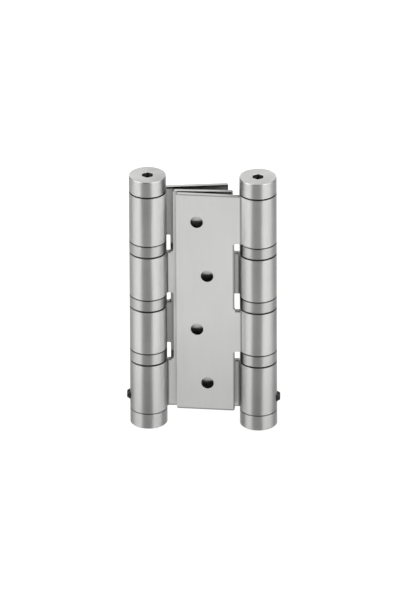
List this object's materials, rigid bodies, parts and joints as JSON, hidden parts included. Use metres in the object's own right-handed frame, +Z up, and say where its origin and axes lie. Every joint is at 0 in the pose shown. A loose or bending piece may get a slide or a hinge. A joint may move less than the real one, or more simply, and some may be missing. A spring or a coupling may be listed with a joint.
{
  "type": "double action spring hinge",
  "caption": "Double action spring hinge: two flat leaves and a middle web rolled into two parallel sprung barrels, so a door swings both ways and closes itself.",
  "frame": {"origin": "midway between the two barrel axes, on the plane of the bottom caps", "axes": "+Z up along the barrels, +X from the left barrel to the right one, -Y towards the front leaf"},
  "size_m": [0.085, 0.0215, 0.1525],
  "materials": {
    "leaf_steel": "satin",
    "ring_steel": "fine turned",
    "cap_steel": "fine turned",
    "inner_steel": "plain turned",
    "spring_steel": "oiled",
    "black_screw": "black oxide"
  },
  "bodies": {
    "front_leaf": {"front_leaf": "leaf_steel", "right_bearing_ring_upper": "ring_steel", "right_bearing_ring_lower": "ring_steel"},
    "web": {"web_plate": "leaf_steel", "right_bearing_ring_middle": "ring_steel", "right_bottom_cap": "cap_steel", "right_journal_sleeve": "inner_steel", "right_torsion_spring": "spring_steel", "right_spindle": "inner_steel", "right_spring_anchor": "inner_steel", "right_lock_screw": "black_screw", "left_bearing_ring_middle": "ring_steel", "left_bottom_cap": "cap_steel", "left_journal_sleeve": "inner_steel", "left_torsion_spring": "spring_steel", "left_spindle": "inner_steel", "left_spring_anchor": "inner_steel", "left_lock_screw": "black_screw"},
    "rear_leaf": {"rear_leaf": "leaf_steel", "left_bearing_ring_upper": "ring_steel", "left_bearing_ring_lower": "ring_steel"},
    "right_tension_cap": {"right_tension_cap": "cap_steel"},
    "left_tension_cap": {"left_tension_cap": "cap_steel"}
  },
  "joints": [
    {"name": "web_swing", "type": "hinge", "parent": "front_leaf", "child": "web", "pos_m": [0.0305, 0, 0], "axis": [0, 0, -1], "range_deg": [0, 180], "stiffness_Nm_per_rad": 1, "deforming": ["right_torsion_spring"]},
    {"name": "rear_leaf_swing", "type": "hinge", "parent": "web", "child": "rear_leaf", "pos_m": [-0.0305, 0, 0], "axis": [0, 0, 1], "range_deg": [-6.6, 173.4], "stiffness_Nm_per_rad": 1, "deforming": ["left_torsion_spring"]},
    {"name": "right_tension_adjust", "type": "hinge", "parent": "front_leaf", "child": "right_tension_cap", "pos_m": [0.0305, 0, 0], "axis": [0, 0, 1], "range_deg": [0, 180], "deforming": ["right_torsion_spring"]},
    {"name": "left_tension_adjust", "type": "hinge", "parent": "rear_leaf", "child": "left_tension_cap", "pos_m": [-0.0305, 0, 0], "axis": [0, 0, 1], "range_deg": [0, 180], "deforming": ["left_torsion_spring"]}
  ]
}
